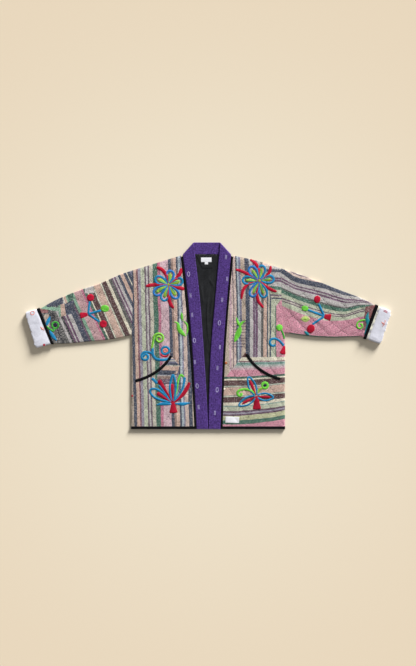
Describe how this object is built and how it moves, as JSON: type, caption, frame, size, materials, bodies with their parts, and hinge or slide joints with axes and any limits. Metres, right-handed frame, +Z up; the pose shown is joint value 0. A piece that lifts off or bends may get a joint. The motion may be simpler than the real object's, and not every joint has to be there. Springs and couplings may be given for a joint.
{
  "type": "quilted patchwork cotton jacket laid flat",
  "caption": "Open-front quilted cotton jacket laid flat: striped patchwork, folded band collar, bound edges, curved pocket mouths and turned-back sleeve ends.",
  "frame": {"origin": "middle of the laid-out jacket's outline, on the surface that it lies on", "axes": "+X along the sleeves towards the wearer's left, +Y from the hem to the neck, +Z up from the surface"},
  "size_m": [1.3136, 0.6722, 0.0175],
  "materials": {
    "striped_patchwork": "matt handwoven striped cotton, quilted and embroidered",
    "band_cotton": "matt purple cotton",
    "binding_black": "matt black cotton",
    "lining_black": "matt black cotton, lightly creased",
    "cuff_lining_white": "matt white cotton with small sprigs",
    "label_white": "smooth white tape"
  },
  "bodies": {
    "root": {"back": "striped_patchwork", "back_lining": "lining_black", "neck_facing": "lining_black", "neck_label": "label_white", "size_tab": "label_white", "front_right": "striped_patchwork", "front_left": "striped_patchwork", "sleeve_right": "striped_patchwork", "sleeve_left": "striped_patchwork", "cuff_turnback_right": "cuff_lining_white", "cuff_turnback_left": "cuff_lining_white", "cuff_strip_left": "cuff_lining_white", "cuff_binding_right": "binding_black", "cuff_binding_left": "binding_black", "band_right": "band_cotton", "band_neck": "band_cotton", "band_left": "band_cotton", "band_piping_right": "binding_black", "band_piping_left": "binding_black", "hem_binding_right": "binding_black", "hem_binding_left": "binding_black", "hem_binding_back": "binding_black", "pocket_binding_right": "binding_black", "pocket_binding_left": "binding_black", "hem_patch": "label_white"}
  },
  "joints": []
}
